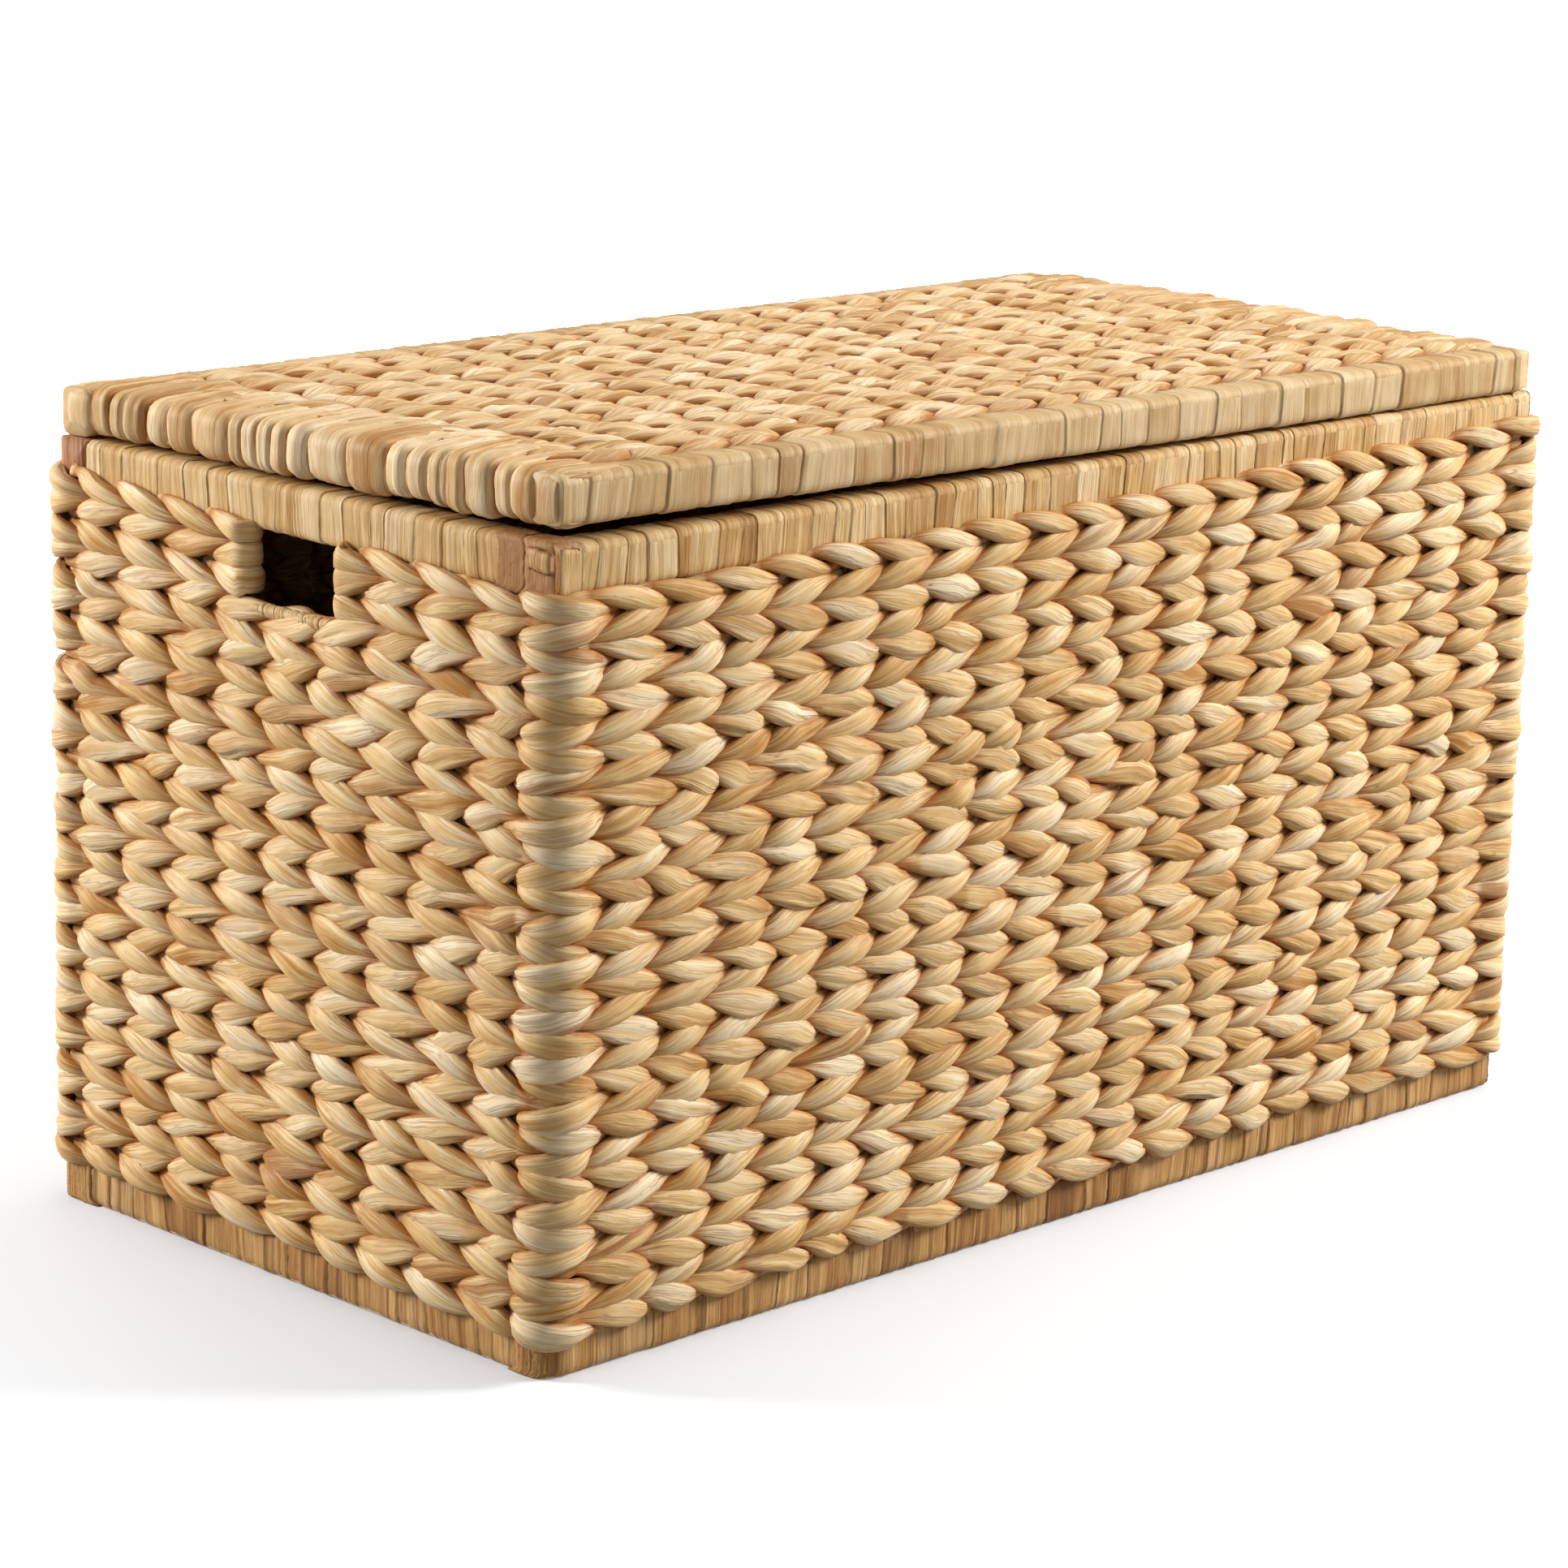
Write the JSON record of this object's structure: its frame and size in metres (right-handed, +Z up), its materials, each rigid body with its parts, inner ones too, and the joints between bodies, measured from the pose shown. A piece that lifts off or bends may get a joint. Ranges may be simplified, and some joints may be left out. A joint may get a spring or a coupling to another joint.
{
  "type": "lidded woven hamper",
  "caption": "Rectangular woven plant-fibre hamper on a leaf-wrapped wooden frame, with a finger hole in each short side and a flat hinged lid.",
  "frame": {"origin": "on the ground, under the middle of the hamper", "axes": "+X along the length to the right, +Y to the back where the hinges are, +Z up; the front faces -Y"},
  "size_m": [0.691, 0.355, 0.398],
  "materials": {
    "bare_wood": "matt sawn softwood",
    "base_leaf": "satin dried leaf strip, browner",
    "rim_leaf": "satin dried leaf strip",
    "woven_strand": "satin twisted plant strand",
    "round_pole": "satin round cane",
    "coated_wire": "satin brown coating",
    "plain_steel": "plain",
    "hinge_steel": "antique satin"
  },
  "bodies": {
    "hamper": {"base_rail_front": "bare_wood", "base_rail_back": "bare_wood", "base_rail_left": "bare_wood", "base_rail_right": "bare_wood", "base_wrap_front": "base_leaf", "base_wrap_back": "base_leaf", "base_wrap_left": "base_leaf", "base_wrap_right": "base_leaf", "base_nails": "plain_steel", "rim_rail_front": "bare_wood", "rim_rail_back": "bare_wood", "rim_rail_left": "bare_wood", "rim_rail_right": "bare_wood", "rim_wrap_front": "rim_leaf", "rim_wrap_back": "rim_leaf", "rim_wrap_left": "rim_leaf", "rim_wrap_right": "rim_leaf", "rim_nails": "plain_steel", "corner_post_front_left": "round_pole", "corner_post_front_right": "round_pole", "corner_post_back_left": "round_pole", "corner_post_back_right": "round_pole", "post_nails": "plain_steel", "wall_stakes_front": "coated_wire", "wall_stakes_back": "coated_wire", "wall_stakes_left": "coated_wire", "wall_stakes_right": "coated_wire", "wall_weave_front": "woven_strand", "wall_weave_back": "woven_strand", "wall_weave_left": "woven_strand", "wall_weave_right": "woven_strand", "finger_hole_sill_left": "woven_strand", "finger_hole_sill_right": "woven_strand", "floor_slats": "bare_wood", "floor_stakes": "coated_wire", "floor_weave": "woven_strand", "hinge_fixed_leaves": "hinge_steel", "hinge_pins": "hinge_steel", "hinge_screws_rim": "hinge_steel"},
    "lid": {"lid_rail_front": "bare_wood", "lid_rail_back": "bare_wood", "lid_rail_left": "bare_wood", "lid_rail_right": "bare_wood", "lid_wrap_front": "rim_leaf", "lid_wrap_back": "rim_leaf", "lid_wrap_left": "woven_strand", "lid_wrap_right": "woven_strand", "lid_nails": "plain_steel", "lid_battens": "bare_wood", "lid_stakes": "coated_wire", "lid_weave": "woven_strand", "hinge_moving_leaves": "hinge_steel", "hinge_screws_lid": "hinge_steel"}
  },
  "joints": [
    {"name": "lid_hinge", "type": "hinge", "parent": "hamper", "child": "lid", "pos_m": [0, 0.1748, 0.3735], "axis": [-1, 0, 0], "range_deg": [0, 105]}
  ]
}
